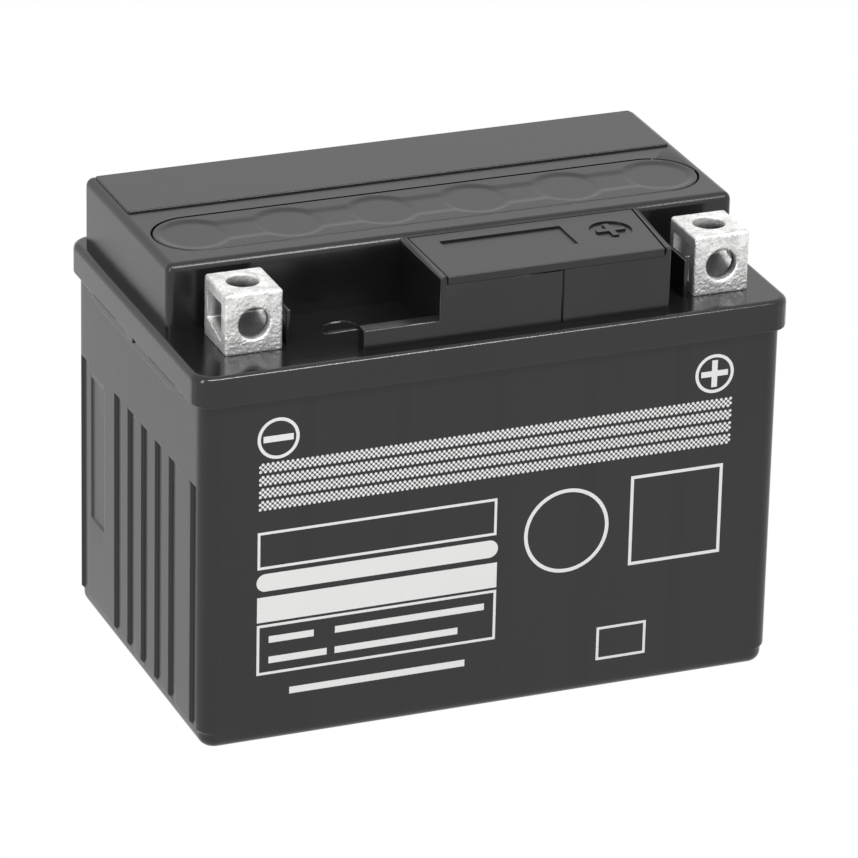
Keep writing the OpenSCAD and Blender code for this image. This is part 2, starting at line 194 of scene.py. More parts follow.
class Socket:
    """A number that varies over the surface, so that shader maths reads as an expression."""

    def __init__(self, finish, socket):
        self.finish, self.socket = finish, socket

    def maths(self, operation, *values):
        return self.finish.add("ShaderNodeMath", {"operation": operation}, dict(enumerate(values)))

    def __add__(self, other):
        return self.maths("ADD", self, other)

    def __sub__(self, other):
        return self.maths("SUBTRACT", self, other)

    def __rsub__(self, other):
        return self.maths("SUBTRACT", other, self)

    def __mul__(self, other):
        return self.maths("MULTIPLY", self, other)

    def __neg__(self):
        return self * -1

    def __abs__(self):
        return self.maths("ABSOLUTE", self)

    def least(self, other):
        return self.maths("MINIMUM", self, other)

    def most(self, other):
        return self.maths("MAXIMUM", self, other)

    def repeat(self, pitch):
        """Distance to the nearest multiple of pitch."""
        return abs(self.maths("PINGPONG", self, pitch / 2))

    __radd__, __rmul__ = __add__, __mul__


class Finish:
    """One procedural material, whose patterns follow the piece in millimetres."""

    def __init__(self, name, **constants):
        self.material = bpy.data.materials.new(name)
        self.material.use_nodes = True
        self.tree = self.material.node_tree
        self.surface = self.tree.nodes["Principled BSDF"]
        for socket, value in constants.items():
            self.surface.inputs[socket.replace("_", " ")].default_value = value
        place = self.add("ShaderNodeTexCoord", {}, {}, "Object")
        self.place = self.add("ShaderNodeVectorMath", {"operation": "SCALE"}, {0: place, "Scale": MM})
        self.x, self.y, self.z = (
            self.add("ShaderNodeSeparateXYZ", {}, {0: self.place}, axis) for axis in "XYZ"
        )

    def add(self, kind, settings, sockets, output=0):
        """Adds a node: its settings first, then the values or links of its sockets."""
        node = self.tree.nodes.new(kind)
        for name, value in settings.items():
            setattr(node, name, value)
        for name, value in sockets.items():
            self.feed(node.inputs[name], value)
        return Socket(self, node.outputs[output])

    def feed(self, socket, value):
        if isinstance(value, Socket):
            self.tree.links.new(value.socket, socket)
        else:
            socket.default_value = value

    def noise(self, size, detail=2.0, roughness=0.5, stretch=(1, 1, 1), shift=0.0):
        """Soft noise from 0 to 1 whose lumps are about size mm apart."""
        scale = tuple(s / size for s in stretch)
        mapped = {"Vector": self.place, "Scale": scale, "Location": (shift,) * 3}
        at = self.add("ShaderNodeMapping", {}, mapped)
        return self.add(
            "ShaderNodeTexNoise", {}, {"Vector": at, "Scale": 1.0, "Detail": detail, "Roughness": roughness}
        )

    def cells(self, size, stretch=(1, 1, 1)):
        """Distance from the middle of the nearest cell, where cells are about size mm across."""
        scale = tuple(s / size for s in stretch)
        at = self.add("ShaderNodeMapping", {}, {"Vector": self.place, "Scale": scale})
        return self.add("ShaderNodeTexVoronoi", {}, {"Vector": at, "Scale": 1.0})

    def step(self, value, low, high):
        """0 where value is below low, 1 where it is above high, and smooth between them."""
        return self.add(
            "ShaderNodeMapRange",
            {"interpolation_type": "SMOOTHSTEP"},
            {"Value": value, "From Min": low, "From Max": high},
        )

    def mix(self, share, first, second):
        """One colour blended into another."""
        first, second = ((*c, 1.0) if isinstance(c, tuple) else c for c in (first, second))
        return self.add(
            "ShaderNodeMix", {"data_type": "RGBA"}, {0: share, 6: first, 7: second}, 2
        )

    def bump(self, height, distance, under=None):
        """Relief of a height from 0 to 1, with distance in mm."""
        sockets = {"Height": height, "Distance": distance / MM, "Strength": 1.0}
        if under:
            sockets["Normal"] = under
        return self.add("ShaderNodeBump", {}, sockets)

    def paint(self, **sockets):
        for name, value in sockets.items():
            self.feed(self.surface.inputs[name.replace("_", " ")], value)
        return self.material


def shade(tint, share):
    return tuple(min(1.0, c * share) for c in tint)


def moulded_plastic(name, tint, roughness, deck=False):
    """Black moulded plastic: a fine grain, faint flow clouds and, on the deck, a polished skin; off the
    deck, sink marks on the case's front with painted shade.
    """
    f = Finish(name, IOR=1.5)
    clouds = f.noise(26, 3, stretch=(1, 1, 0.35))
    grain = f.noise(0.22, 3, 0.6)
    scuffs = f.step(f.noise(5.5, 6, 0.7, stretch=(1, 1, 2.5), shift=7), 0.62, 0.74)
    rough = roughness + (clouds - 0.5) * 0.08 + (grain - 0.5) * 0.05 + scuffs * 0.04
    if deck:
        polished = f.step(-f.z, -DECK_Z - 0.25, -DECK_Z + 0.1)
        walls = f.step(-f.y, 12.6, 12.75) * f.step(-f.z, -BLOCK_TOP + 1.6, -BLOCK_TOP + 2.4)
        rough = rough - polished.most(walls * 0.6) * (roughness - 0.13)
    else:
        # Sink marks over the cell walls on the case's front: a shallow dip in the bump, with painted shade
        # that darkens their colour.
        sink_and_shade = 1 - f.step(f.x.repeat(CELL_PITCH), 0.4, 1.9)
        clouds = clouds - sink_and_shade * 0.5 * f.step(-f.y, 33, 33.8)
    base = f.mix(f.step(clouds, 0.3, 0.7), shade(tint, 0.86), shade(tint, 1.16))
    relief = f.bump(clouds, 0.03)
    return f.paint(
        Base_Color=f.mix(scuffs, base, shade(tint, 1.5)),
        Roughness=rough,
        Normal=f.bump(grain, 0.012, relief),
    )


def printed_ink(name, tint):
    """White screen ink with a few pinholes and a slightly uneven film."""
    f = Finish(name, IOR=1.45)
    holes = f.step(f.noise(0.35, 3, 0.65), 0.66, 0.72)
    film = f.noise(9, 2)
    base = f.mix(film, shade(tint, 0.97), shade(tint, 1.0))
    return f.paint(
        Base_Color=f.mix(holes * 0.25, base, shade(tint, 0.3)),
        Roughness=0.42 + (film - 0.5) * 0.12,
        Normal=f.bump(holes, -0.01),
    )


def cast_metal(name, tint, bright=1.0, facing=False):
    """Cast lead alloy: a pitted skin, duller patches at random and, on a facing block, dragged streaks on
    worn faces and painted shade deep in its slot and holes.
    """
    f = Finish(name, Metallic=1.0)
    pits = f.cells(0.42)
    grain = f.noise(0.3, 4, 0.65)
    cloud = f.noise(2.4, 4, 0.6)
    streaks = f.noise(0.6, 4, 0.6, stretch=(0.25, 1, 1), shift=3)
    dull = f.step(cloud * 0.6 + grain * 0.4, 0.36, 0.62)
    rough = 0.36 + grain * 0.16 + (1 - dull) * 0.1
    normal = f.bump(grain * 0.6 + pits * 0.4, 0.09)
    if facing:
        top = f.step(f.z, DECK_Z + 11.0, DECK_Z + 11.25)
        rough = rough + top * 0.1
        normal = f.bump(streaks * top, 0.03, normal)
    base = f.mix(dull, shade(tint, 0.6 * bright), shade(tint, bright))
    if facing:
        # Painted shade: the metal is painted near-black deep inside the nut slot and bolt holes.
        hole_shade = f.add("ShaderNodeAttribute", {"attribute_name": "hole_shade"}, {}, "Fac")
        base = f.mix(hole_shade * 0.9, base, shade(tint, 0.1))
    return f.paint(Base_Color=base, Roughness=rough, Normal=normal)


def pasted_plate(name, tint, flake):
    """A pasted grid plate: a sandy paste with the grid's bars showing through."""
    f = Finish(name, Metallic=0.0)
    sand = f.noise(0.35, 4, 0.7)
    blot = f.noise(6, 4, 0.6)
    bars = (f.y.repeat(4.5)).least(f.z.repeat(4.5))
    grid = 1 - f.step(bars, 0.25, 0.5)
    base = f.mix(f.step(blot, 0.35, 0.7), tint, flake)
    return f.paint(
        Base_Color=f.mix(grid * 0.35, base, shade(tint, 0.55)),
        Roughness=0.62 + sand * 0.25,
        Normal=f.bump(sand + grid, 0.08),
    )


def glass_fleece(name):
    """Absorbent glass mat: pale felted fibres with damp patches."""
    f = Finish(name, Sheen_Weight=0.15)
    along = f.noise(0.5, 5, 0.75, stretch=(1, 0.12, 1))
    across = f.noise(0.5, 5, 0.75, stretch=(1, 1, 0.12), shift=11)
    fibres = along.most(across)
    damp = f.step(f.noise(14, 3), 0.42, 0.66)
    dry, wet = (0.80, 0.79, 0.75), (0.60, 0.59, 0.55)
    return f.paint(
        Base_Color=f.mix(damp, f.mix(fibres, shade(dry, 0.85), dry), wet),
        Roughness=0.9 - damp * 0.25,
        Normal=f.bump(fibres, 0.12),
    )


def moulded_rubber(name):
    """Dull black rubber with a faint bloom."""
    f = Finish(name, IOR=1.5)
    bloom = f.step(f.noise(1.8, 4, 0.6), 0.45, 0.75)
    grain = f.noise(0.15, 3)
    return f.paint(
        Base_Color=f.mix(bloom, (0.012, 0.012, 0.013), (0.035, 0.035, 0.036)),
        Roughness=0.62 + bloom * 0.18 + (grain - 0.5) * 0.1,
        Normal=f.bump(grain, 0.02),
    )


def porous_disc(name):
    """Sintered plastic beads pressed into a disc, with painted shade in the gaps between the beads."""
    f = Finish(name, IOR=1.48)
    beads = f.cells(0.28)
    # Painted shade: the crevices between beads are coloured dark grey, and they also sink in the bump.
    gap_shade = f.step(beads, 0.35, 0.75)
    return f.paint(
        Base_Color=f.mix(gap_shade, (0.78, 0.77, 0.73), (0.34, 0.33, 0.31)),
        Roughness=0.7 + gap_shade * 0.2,
        Normal=f.bump(gap_shade, -0.08),
    )


# --- shapes, all in millimetres until they are finished ----------------------------------------


def from_bmesh(name, bm):
    mesh = bpy.data.meshes.new(name)
    bm.to_mesh(mesh)
    bm.free()
    made = bpy.data.objects.new(name, mesh)
    bpy.context.scene.collection.objects.link(made)
    return made


def settle(piece):
    """Turns what a piece's modifiers show into its own plain mesh."""
    shown = piece.evaluated_get(bpy.context.evaluated_depsgraph_get())
    mesh = bpy.data.meshes.new_from_object(shown)
    piece.modifiers.clear()
    old, piece.data = piece.data, mesh
    bpy.data.meshes.remove(old)
    return piece


def combine(piece, tool, operation):
    """Joins tool to piece, cuts it away or keeps what lies in both, and uses the tool up."""
    if not len(tool.data.polygons) or not len(piece.data.polygons):
        raise RuntimeError(f"{piece.name} or {tool.name} is empty before {operation}")
    modifier = piece.modifiers.new(operation, "BOOLEAN")
    modifier.object, modifier.operation, modifier.solver = tool, operation, "MANIFOLD"
    settle(piece)
    mesh = tool.data
    bpy.data.objects.remove(tool)
    bpy.data.meshes.remove(mesh)
    if not len(piece.data.polygons):
        raise RuntimeError(f"{piece.name} is empty after {operation}")
    return piece


def inset(points, by):
    """A convex outline, counter-clockwise, moved inwards by a distance."""
    lines = []
    for k, p in enumerate(points):
        q = points[(k + 1) % len(points)]
        along = (Vector(q) - Vector(p)).normalized()
        inward = Vector((-along.y, along.x))
        lines.append((Vector(p) + inward * by, along))
    corners = []
    for k, (p, along) in enumerate(lines):
        q, before = lines[k - 1]
        corners.append(q + before * ((p - q).cross(along) / before.cross(along)))
    return corners


def rounded_outline(points, r, by=0.0, steps=6):
    """A convex outline moved inwards by a distance, with every corner rounded."""
    radius = max(r - by, 0.08)
    outline = []
    count = len(points)
    for k, core in enumerate(inset(points, by + radius)):
        here, after, before = (Vector(points[j % count]) for j in (k, k + 1, k - 1))
        start, end = ((b - a).normalized() for a, b in ((before, here), (here, after)))
        first = math.atan2(-start.x, start.y)
        turn = (math.atan2(-end.x, end.y) - first) % (2 * math.pi)
        for s in range(steps + 1):
            a = first + turn * s / steps
            outline.append(core + radius * Vector((math.cos(a), math.sin(a))))
    return outline


def rectangle(x0, y0, x1, y1):
    return [(x0, y0), (x1, y0), (x1, y1), (x0, y1)]


def fillet_levels(z0, z1, bottom, top, steps=6):
    """(height, inset) pairs for a wall with a rounded lower and upper edge."""
    quarter = [math.pi / 2 * s / steps for s in range(steps + 1)]
    low = [(z0 + bottom * (1 - math.cos(a)), bottom * (1 - math.sin(a))) for a in quarter]
    high = [(z1 - top * (1 - math.sin(a)), top * (1 - math.cos(a))) for a in quarter]
    return low + high


def skin(name, rings):
    """A closed solid through rings of the same number of points, bottom ring first."""
    bm = bmesh.new()
    rows = [[bm.verts.new(p) for p in ring] for ring in rings]
    count = len(rows[0])
    for low, high in zip(rows, rows[1:]):
        for k in range(count):
            n = (k + 1) % count
            bm.faces.new((low[k], low[n], high[n], high[k]))
    bm.faces.new(reversed(rows[0]))
    bm.faces.new(rows[-1])
    bmesh.ops.remove_doubles(bm, verts=bm.verts, dist=1e-4)
    bmesh.ops.recalc_face_normals(bm, faces=bm.faces)
    return from_bmesh(name, bm)


def soft_block(name, points, r, z0, z1, bottom=0.0, top=0.0):
    """An upright solid on a convex outline with rounded corners and edges."""
    levels = fillet_levels(z0, z1, bottom, top) if bottom or top else [(z0, 0), (z1, 0)]
    return skin(name, [[(*p, z) for p in rounded_outline(points, r, by)] for z, by in levels])


def rod(name, start, end, r, end_r=None, sides=48):
    """A round bar or cone from one point to another."""
    start, end = Vector(start), Vector(end)
    turn = (end - start).to_track_quat("Z", "Y").to_matrix()
    rings = []
    for at, radius in ((start, r), (end, r if end_r is None else end_r)):
        angles = [2 * math.pi * k / sides for k in range(sides)]
        rings.append([at + turn @ Vector((radius * math.cos(a), radius * math.sin(a), 0)) for a in angles])
    return skin(name, rings)


def flat_shape(name, outlines, z0, z1):
    """An upright solid on outlines, where an outline inside another one is a hole."""
    curve = bpy.data.curves.new(name, "CURVE")
    curve.dimensions, curve.fill_mode, curve.extrude = "2D", "BOTH", (z1 - z0) / 2
    for points in outlines:
        spline = curve.splines.new("POLY")
        spline.points.add(len(points) - 1)
        for point, p in zip(spline.points, points):
            point.co = (*p, 0, 1)
        spline.use_cyclic_u = True
    return solid_from(name, curve, (z0 + z1) / 2)


def solid_from(name, curve, z):
    """The closed mesh of a filled curve or text, lifted to z."""
    drawn = bpy.data.objects.new(name + ".curve", curve)
    bpy.context.scene.collection.objects.link(drawn)
    shown = drawn.evaluated_get(bpy.context.evaluated_depsgraph_get())
    mesh = bpy.data.meshes.new_from_object(shown)
    bpy.data.objects.remove(drawn)
    bpy.data.curves.remove(curve)
    mesh.transform(Matrix.Translation((0, 0, z)))
    bm = bmesh.new()
    bm.from_mesh(mesh)
    bpy.data.meshes.remove(mesh)
    bmesh.ops.remove_doubles(bm, verts=bm.verts, dist=1e-4)
    bmesh.ops.recalc_face_normals(bm, faces=bm.faces)
    return from_bmesh(name, bm)


def circle(x, y, r, sides=64):
    return [
        (x + r * math.cos(2 * math.pi * k / sides), y + r * math.sin(2 * math.pi * k / sides))
        for k in range(sides)
    ]


def plus_outline(x, y, reach, half):
    arms = [(reach, -half), (reach, half), (half, half), (half, reach)]
    outline = []
    for turn in range(4):
        c, s = math.cos(turn * math.pi / 2), math.sin(turn * math.pi / 2)
        outline += [(x + c * a - s * b, y + s * a + c * b) for a, b in arms[:3]]
    return outline


def minus_outline(x, y, reach, half):
    return rectangle(x - reach, y - half, x + reach, y + half)


def cad_copy(name, node):
    """A merged copy of a CAD node's mesh, in millimetres."""
    bm = bmesh.new()
    bm.from_mesh(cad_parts[node].data)
    bmesh.ops.scale(bm, vec=(MM, MM, MM), verts=bm.verts)
    bmesh.ops.remove_doubles(bm, verts=bm.verts, dist=2e-4)
    return from_bmesh(name, bm)


def finish_piece(piece, material, replaced=(), crease=32.0, body=BODY):
    """Scales a piece to metres, smooths it, gives it its finish and hangs it on its body."""
    piece.data.transform(Matrix.Scale(1 / MM, 4))
    piece.data.materials.clear()
    piece.data.materials.append(material)
    piece.data.polygons.foreach_set("use_smooth", [True] * len(piece.data.polygons))
    piece.data.set_sharp_from_angle(angle=math.radians(crease))
    weighted = piece.modifiers.new("Weighted normals", "WEIGHTED_NORMAL")
    weighted.keep_sharp, weighted.weight = True, 100
    settle(piece)
    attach(piece, body)
    if replaced:
        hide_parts(*replaced)
    return piece


def smooth_step(value, low, high):
    t = min(1.0, max(0.0, (value - low) / (high - low)))
    return t * t * (3 - 2 * t)


# --- the case -------------------------------------------------------------------------------


def end_relief(settings, left, y, z):
    """How far an end of the case stands back at a height and a place along it."""
    edge = 0.22
    half = settings.groove_w / 2
    pitch, outer = settings.groove_pitch, CASE_HIGH.y - 4.25
    middles = [(k - 2.5) * pitch for k in range(CELLS - (1 if left else 0))] + [-outer, outer]
    across = max(half - abs(y - m) for m in middles)
    groove = smooth_step(min(across, (settings.groove_top - z) * 0.8), -edge, edge)
    foot = 1 - smooth_step(z, 2.7, 3.5)
    depth = settings.groove_d * max(groove, foot)
    if left:
        panel = min(3.4 - abs(y - 22.1), 14 - abs(z - 34))
        depth = max(depth, settings.panel_d * smooth_step(panel, -0.2, 0.2))
    return depth


def rim_relief(y, z, under_skirt):
    """How far the rim under the skirt stands out at a height and a place along an end."""
    side = abs(y)
    low = 64.0 + 2.2 * smooth_step(side, 19, 29.2)
    at = (y + 28.5) / 27.6 if y < 1.2 else (28.5 - y) / 25.2
    bow = math.sin(math.pi * min(1, max(0, at))) ** 0.7 if 0 < at < 1 else 0.0
    high = under_skirt - 0.62 * bow
    if side >= 29.3 or z > high:
        return 0.0
    return RIM_PROUD * smooth_step(z, low - 0.25, low + 0.2)


def side_places(settings):
    """Places across an end of the case at which its skin needs points."""
    half, edge = settings.groove_w / 2, 0.22
    middles = [(k - 2.5) * settings.groove_pitch for k in range(CELLS)]
    outer = CASE_HIGH.y - 4.25
    places = {round(-31 + k * 1.0, 4) for k in range(63)}
    for m in middles + [-outer, outer]:
        for side in (-1, 1):
            places |= {round(m + side * (half + e), 4) for e in (-edge, -edge / 3, edge / 3, edge)}
    for m in (18.5, 18.7, 18.9, 25.3, 25.5, 25.7, -0.9, 3.3):
        places.add(m)
    kept = []
    for p in sorted(places):
        if abs(p) <= CASE_HIGH.y - settings.corner_r and (not kept or p - kept[-1] > 0.05):
            kept.append(p)
    return kept


def case_skin(settings):
    """The outside of the case, closed top and bottom."""
    r, y_max = settings.corner_r, CASE_HIGH.y
    under_skirt = COVER_HIGH.z - 18.6
    straight = side_places(settings)
    arc = [math.pi / 2 * k / 8 for k in range(9)]
    core_x, core_y = CASE_END - r, y_max - r
    around = []  # (x, y, unit normal), counter-clockwise from the right end's front
    around += [(core_x + r, y, 1, 0) for y in straight]
    around += [(core_x + r * math.cos(a), core_y + r * math.sin(a), math.cos(a), math.sin(a)) for a in arc]
    front = [core_x - 2 * core_x * k / 36 for k in range(1, 36)]
    around += [(x, y_max, 0, 1) for x in front]
    around += [(-core_x - r * math.sin(a), core_y + r * math.cos(a), -math.sin(a), math.cos(a)) for a in arc]
    around += [(-core_x - r, y, -1, 0) for y in reversed(straight)]
    for a in arc:
        c, n = math.cos(a), math.sin(a)
        around.append((-core_x - r * c, -core_y - r * n, -c, -n))
    around += [(-x, -y_max, 0, -1) for x in front]
    around += [(core_x + r * math.sin(a), -core_y - r * math.cos(a), math.sin(a), -math.cos(a)) for a in arc]
    levels = fillet_levels(0, CASE_HIGH.z, settings.foot_r, 0)[:7]
    heights = [2.7, 2.9, 3.1, 3.3, 3.5, 8, 14, 19.8, 20.2, 27, 34, 41, 47.8, 48.2]
    top = settings.groove_top
    heights += [top + d for d in (-0.5, -0.28, -0.1, 0.1, 0.28, 0.5, 3, 7)]
    heights += [62.5 + 0.2 * k for k in range(20)]
    levels += [(z, 0.0) for z in sorted(heights) if z < under_skirt - 1e-3]
    rings = []
    for z, by in [*levels, (under_skirt, 0.0), (under_skirt, None), (CASE_HIGH.z, None)]:
        ring = []
        for x, y, nx, ny in around:
            out = -(by or 0.0)
            shift = 0.0
            if abs(x) >= core_x - 1e-6:
                side = 1 if x > 0 else -1
                if by is not None:
                    shift = side * (rim_relief(y, z, under_skirt) - end_relief(settings, side < 0, y, z))
            ring.append((x + nx * out + shift, y + ny * out, z))
        rings.append(ring)
    return skin("case_shell", rings)


class BATTERY_OT_case(bpy.types.Operator):
    """Builds the grooved case with its six cells."""

    bl_idname = "battery.case"
    bl_label = "Case"

    def execute(self, context):
        settings, colours = context.scene.battery_case, context.scene.battery_colours
        case = case_skin(settings)
        links = [box_mm(f"cell_link_{i}") for i in range(1, CELLS)]
        for i in range(1, CELLS + 1):
            mats = box_mm(f"separator_mats_{i}")
            middle = (i - (CELLS + 1) / 2) * CELL_PITCH
            half = (CELL_PITCH - 1.2) / 2
            points = rectangle(middle - half, mats[0].y - 0.3, middle + half, mats[1].y + 0.3)
            combine(case, soft_block("cell", points, 0.08, mats[0].z, CASE_HIGH.z + 2), "DIFFERENCE")
        for low, high in links:
            x, y = (low.x + high.x) / 2, (low.y + high.y) / 2
            z = (low.z + 3 + high.z) / 2
            combine(case, rod("weld", (x - 1.5, y, z), (x + 1.5, y, z), 3.05), "DIFFERENCE")
        plastic = moulded_plastic("case_black", tuple(colours.case), 0.28)
        finish_piece(case, plastic, ["case"], crease=38)
        return {"FINISHED"}


# --- the cover ------------------------------------------------------------------------------


def cover_envelope(settings):
    """What the cover fills, with all its outer edges rounded."""
    low, high = COVER_LOW, COVER_HIGH
    skirt_z = DECK_Z - SKIRT_H
    small = settings.small_r
    block_y0, block_y1, block_x = BLOCK_FRONT, high.y - BLOCK_STEP, high.x - BLOCK_STEP
    whole = soft_block(
        "cover_shell", rectangle(low.x, low.y, high.x, high.y), 4.0, skirt_z, DECK_Z, 0.3, settings.skirt_r
    )
    inside = rectangle(low.x + 2, low.y + 2, high.x - 2, high.y - 2)
    parts = [soft_block("inside", inside, 3.0, low.z - 1, DECK_Z - 1.5)]
    for x in (low.x, high.x):
        inner = x - math.copysign(1.0, x)
        points = rectangle(min(x, inner), TAB[0], max(x, inner), TAB[1])
        parts.append(soft_block("tab", points, 0.2, skirt_z - 0.9, skirt_z + 1, 0.2))
    parts.append(
        soft_block(
            "block", rectangle(-block_x, block_y0, block_x, block_y1), settings.block_r,
            DECK_Z - 1, BLOCK_TOP, 0.0, settings.block_r,
        )
    )
    ledge = rectangle(-block_x + 1.5, LEDGE_FRONT, block_x - 1.5, block_y1 - 1.5)
    parts.append(soft_block("ledge", ledge, 0.6, BLOCK_TOP - 1, high.z, 0.0, 0.25))
    middle = [
        (MIDDLE_LEFT, SMALL_FRONT), (MIDDLE_RIGHT, SMALL_FRONT),
        (MIDDLE_REAR_RIGHT, block_y0 + 1), (MIDDLE_LEFT, block_y0 + 1),
    ]
    parts.append(soft_block("middle", middle, small, DECK_Z - 1, PLATE_HIGH.z, 0.0, small))
    wall = rectangle(WALL_LEFT, SMALL_FRONT, MIDDLE_LEFT + 1, WALL_REAR)
    parts.append(soft_block("wall", wall, small, DECK_Z - 1, DECK_Z + WALL_H, 0.0, small))
    for x, y, h in RIBS:
        rib = rectangle(x, y, x + RIB_T, block_y0 + 1)
        parts.append(soft_block("rib", rib, 0.3, DECK_Z - 1, DECK_Z + h, 0.0, 0.3))
    for part in parts:
        combine(whole, part, "UNION")
    return whole


class BATTERY_OT_cover(bpy.types.Operator):
    """Builds the cover: skirt, polished deck, main block, middle block and ribs."""

    bl_idname = "battery.cover"
    bl_label = "Cover"

    def execute(self, context):
        settings, colours = context.scene.battery_cover, context.scene.battery_colours
        cover = cad_copy("cover_inside", "cover")
        shell = combine(cover_envelope(settings), cover, "INTERSECT")
        outlines = [circle(*RECESS_MARK, MARK_R), minus_outline(*RECESS_MARK, MARK_REACH, 0.6)]
        mark = flat_shape("mark", outlines, DECK_Z - settings.mark_d, DECK_Z + 1)
        combine(shell, mark, "DIFFERENCE")
        plastic = moulded_plastic("cover_black", tuple(colours.cover), 0.25, deck=True)
        finish_piece(shell, plastic, ["cover"])
        return {"FINISHED"}


class BATTERY_OT_lids(bpy.types.Operator):
    """Builds the strip lid over the valves and the plate on the middle block."""

    bl_idname = "battery.lids"
    bl_label = "Lids"

    def execute(self, context):
        settings, colours = context.scene.battery_cover, context.scene.battery_colours
        plastic = moulded_plastic("lid_black", tuple(colours.cover), 0.3)
        self.strip(settings, plastic)
        self.plate(settings, plastic)
        return {"FINISHED"}

    def strip(self, settings, plastic):
        low, high = STRIP_LOW, STRIP_HIGH
        half = (high.y - low.y) / 2
        middle = (high.y + low.y) / 2
        levels = fillet_levels(low.z, high.z, 0.0, 0.3, 4)
        rings = []
        for z, by in levels:
            ring = []
            for side in (1, -1):
                for k in range(33):
                    a = math.pi * (k / 32 - 0.5) + (0 if side == 1 else math.pi)
                    reach = half - by
                    ring.append(
                        (side * (high.x - half) + reach * math.cos(a), middle + reach * math.sin(a), z)
                    )
            rings.append(ring)
        strip = skin("strip_lid", rings)
        relief = self.dishes(settings, middle)
        combine(strip, relief, "INTERSECT")
        finish_piece(strip, plastic, ["vent_lid"], crease=25)

    def dishes(self, settings, middle):
        """A slab whose top has a shallow dish over each valve and a channel from dish to dish."""
        bm = bmesh.new()
        nx, ny, pitch = 230, 38, 0.46
        centres = [(i - (CELLS + 1) / 2) * CELL_PITCH for i in range(1, CELLS + 1)]

        def sunk(x, y):
            near = min(math.hypot(x - c, y) for c in centres)
            dish = 1 - smooth_step(near, 5.4, 7.1)
            span = 1 - smooth_step(abs(x), centres[-1] - 3, centres[-1] + 1)
            channel = (1 - smooth_step(abs(y), 2.6, 4.8)) * span
            return settings.dish_d * max(dish, 0.75 * channel)

        grid = []
        for j in range(ny + 1):
            y = (j - ny / 2) * pitch
            xs = [(i - nx / 2) * pitch for i in range(nx + 1)]
            grid.append([bm.verts.new((x, middle + y, STRIP_HIGH.z + 1e-3 - sunk(x, y))) for x in xs])
        for j in range(ny):
            for i in range(nx):
                bm.faces.new((grid[j][i], grid[j][i + 1], grid[j + 1][i + 1], grid[j + 1][i]))
        rim = grid[0] + [row[-1] for row in grid[1:]] + grid[-1][-2::-1] + [row[0] for row in grid[-2:0:-1]]
        foot = [bm.verts.new((v.co.x, v.co.y, STRIP_LOW.z - 1)) for v in rim]
        for k in range(len(rim)):
            n = (k + 1) % len(rim)
            bm.faces.new((foot[k], foot[n], rim[n], rim[k]))
        bm.faces.new(reversed(foot))
        return from_bmesh("dishes", bm)

    def plate(self, settings, plastic):
        low, high = PLATE_LOW, PLATE_HIGH
        slant = MIDDLE_SLANT * (high.y - low.y)
        points = [
            (low.x + 0.12, low.y), (high.x - slant - 0.12, low.y),
            (high.x - 0.12, high.y), (low.x + 0.12, high.y),
        ]
        plate = soft_block("middle_plate", points, 0.25, low.z, high.z, 0.12, 0.22)
        sunk = high.z - settings.mark_d
        name_field = soft_block("field", rectangle(*NAME_FIELD), 0.25, sunk, high.z + 1)
        combine(plate, name_field, "DIFFERENCE")
        outlines = [circle(*PLATE_MARK, MARK_R), plus_outline(*PLATE_MARK, MARK_REACH, 0.55)]
        mark = flat_shape("mark", outlines, sunk, high.z + 1)
        combine(plate, mark, "DIFFERENCE")
        finish_piece(plate, plastic, ["middle_lid"])


# --- the terminals --------------------------------------------------------------------------


def terminal_solid(name, settings, low, high):
    """A block with its nut slot, its two bolt holes and the line where the mould parted."""
    block = soft_block(
        name, rectangle(low.x, low.y, high.x, high.y), settings.edge_r, low.z, high.z, 0.15, settings.edge_r
    )
    x, top_y = (low.x + high.x) / 2, low.y + TOP_HOLE_Y
    under_top, hole_z = high.z - TOP_WALL, low.z + FRONT_HOLE_Z
    near, far = (
        [(at, low.y + y, under_top + z) for y, z in NUT_SLOT] for at in (low.x - 1, high.x + 1)
    )
    cutters = [skin("slot", [near, far])]
    cutters.append(rod("front hole", (x, low.y - 1, hole_z), (x, low.y + 3, hole_z), BOLT_R))
    cutters.append(rod("front rim", (x, low.y - 0.2, hole_z), (x, low.y + 0.35, hole_z), 3.4, 2.85))
    cutters.append(rod("top hole", (x, top_y, under_top - 1), (x, top_y, high.z + 1), BOLT_R))
    cutters.append(rod("top rim", (x, top_y, high.z - 0.3), (x, top_y, high.z + 0.2), 2.85, 3.35))
    line = 0.17
    parting = rectangle(x - line, low.y - 1, x + line, low.y + 0.16)
    cutters.append(soft_block("front line", parting, 0.08, low.z - 1, high.z + 1))
    cutters.append(
        soft_block(
            "top line", rectangle(x - 1.4 - line, top_y + 1, x - 1.4 + line, high.y + 1), 0.08,
            high.z - 0.12, high.z + 1,
        )
    )
    for cutter in cutters:
        combine(block, cutter, "DIFFERENCE")
    return block


